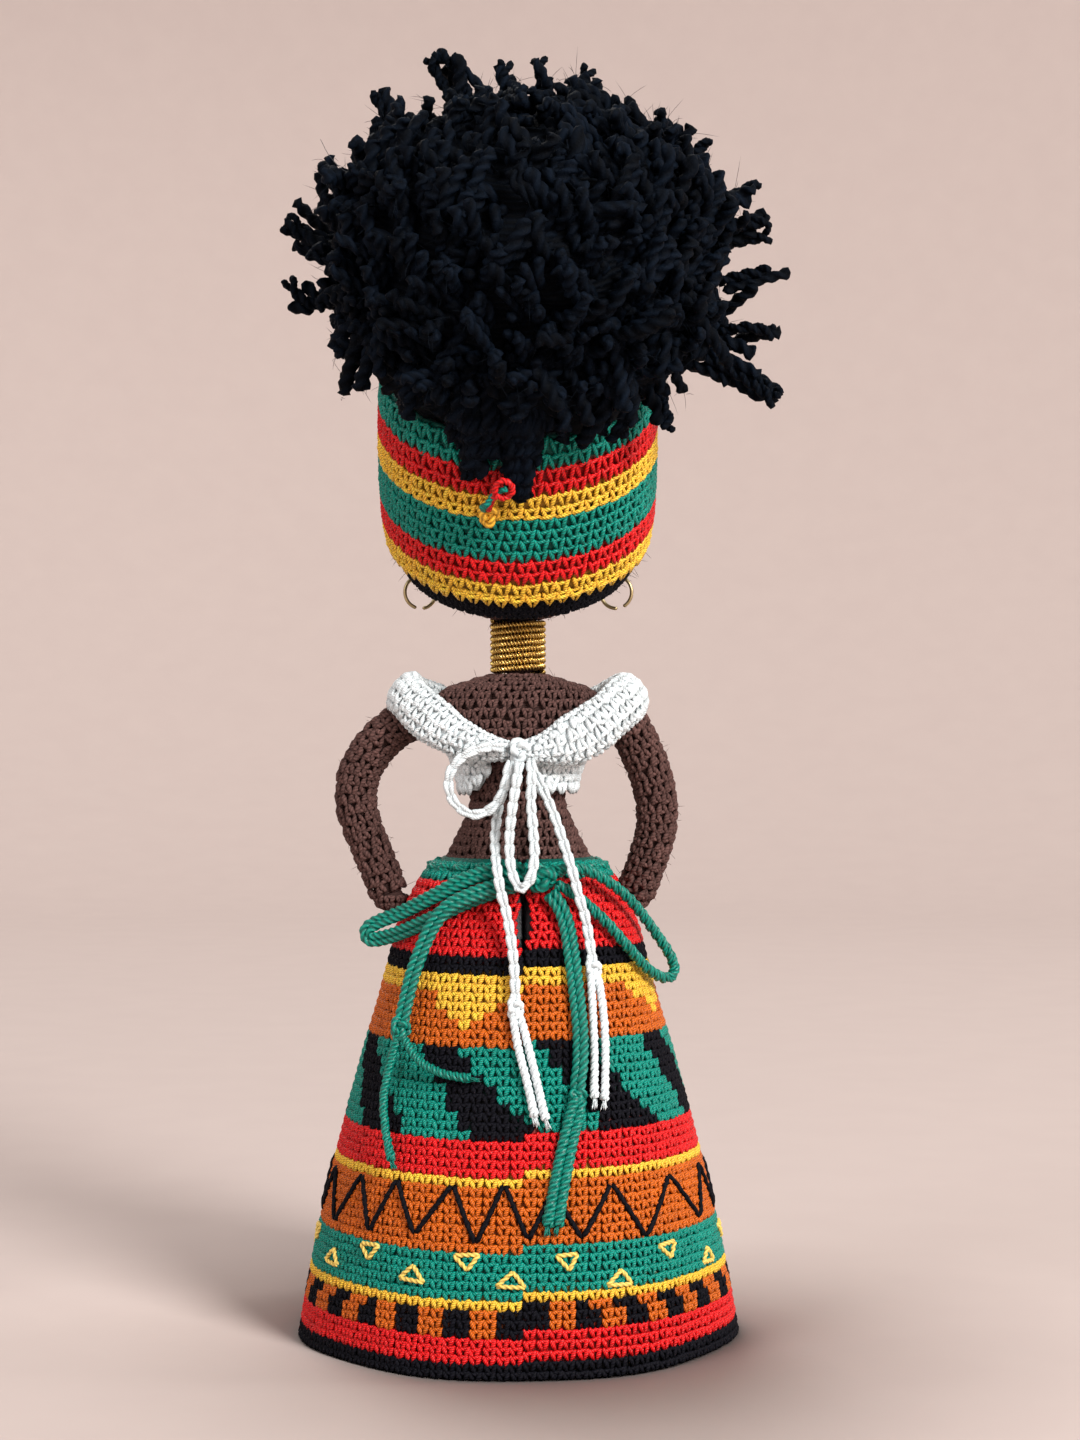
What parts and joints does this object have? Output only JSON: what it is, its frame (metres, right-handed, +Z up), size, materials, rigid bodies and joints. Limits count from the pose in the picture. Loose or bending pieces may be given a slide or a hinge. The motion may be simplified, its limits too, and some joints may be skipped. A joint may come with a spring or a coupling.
{
  "type": "yarn doll",
  "caption": "Crocheted standing doll with a stiff bell skirt, a leaning headband with a yarn pompom, bent arms, ring earrings and tied cords at the back.",
  "frame": {"origin": "middle of the doll's footprint, on the surface it stands on", "axes": "+Z up along the doll, +Y towards the side its face looks to, +X to the doll's right-hand side as seen from its back"},
  "size_m": [0.0646, 0.087, 0.1856],
  "materials": {
    "brown_yarn": "matt wool",
    "black_yarn": "matt wool",
    "white_yarn": "satin cotton",
    "green_yarn": "satin cotton",
    "skirt_yarn": "satin cotton",
    "band_yarn": "satin cotton",
    "yellow_yarn": "satin cotton",
    "gold_thread": "metallic thread",
    "brass_ring": "antique",
    "wood_stick": "plain",
    "steel_wire": "plain"
  },
  "bodies": {
    "doll": {"skirt": "skirt_yarn", "torso": "brown_yarn", "neck_stick": "wood_stick", "neck_winding": "gold_thread", "head": "brown_yarn", "nose": "brown_yarn", "nape_hair": "black_yarn", "headband": "band_yarn", "headband_knot": "yellow_yarn", "hair_puff": "black_yarn", "ear_stitch_left": "brown_yarn", "ear_stitch_right": "brown_yarn", "bodice": "white_yarn", "collar": "white_yarn", "leg_left": "brown_yarn", "leg_right": "brown_yarn", "waist_cord": "green_yarn", "white_knot": "white_yarn", "green_knot": "green_yarn", "white_loop_round": "white_yarn", "white_loop_long": "white_yarn", "white_tail_left": "white_yarn", "white_tail_left_knot": "white_yarn", "white_thread_left_a": "white_yarn", "white_thread_left_b": "white_yarn", "white_tail_right": "white_yarn", "white_tail_right_knot": "white_yarn", "white_thread_right_a": "white_yarn", "white_thread_right_b": "white_yarn", "green_loop_left": "green_yarn", "green_loop_right": "green_yarn", "green_tail_left": "green_yarn", "green_tail_left_knot": "green_yarn", "green_thread_left_a": "green_yarn", "green_thread_left_b": "green_yarn", "green_tail_right": "green_yarn", "green_tail_right_knot": "green_yarn", "green_thread_right_a": "green_yarn", "green_thread_right_b": "green_yarn"},
    "arm_left": {"arm_left": "brown_yarn", "arm_wire_left": "steel_wire"},
    "arm_right": {"arm_right": "brown_yarn", "arm_wire_right": "steel_wire"},
    "earring_left": {"earring_left": "brass_ring"},
    "earring_right": {"earring_right": "brass_ring"}
  },
  "joints": [
    {"name": "shoulder_left", "type": "hinge", "parent": "doll", "child": "arm_left", "pos_m": [-0.0126, 0.01102, 0.0913], "axis": [1, 0, 0], "range_deg": [0, 60]},
    {"name": "shoulder_right", "type": "hinge", "parent": "doll", "child": "arm_right", "pos_m": [0.0126, 0.01102, 0.0913], "axis": [1, 0, 0], "range_deg": [0, 60]},
    {"name": "ear_left", "type": "hinge", "parent": "doll", "child": "earring_left", "pos_m": [-0.01492, 0.01732, 0.11282], "axis": [0.9511, 0.309, 0], "range_deg": [-30, 30]},
    {"name": "ear_right", "type": "hinge", "parent": "doll", "child": "earring_right", "pos_m": [0.01492, 0.01732, 0.11282], "axis": [0.9511, -0.309, 0], "range_deg": [-30, 30]}
  ]
}
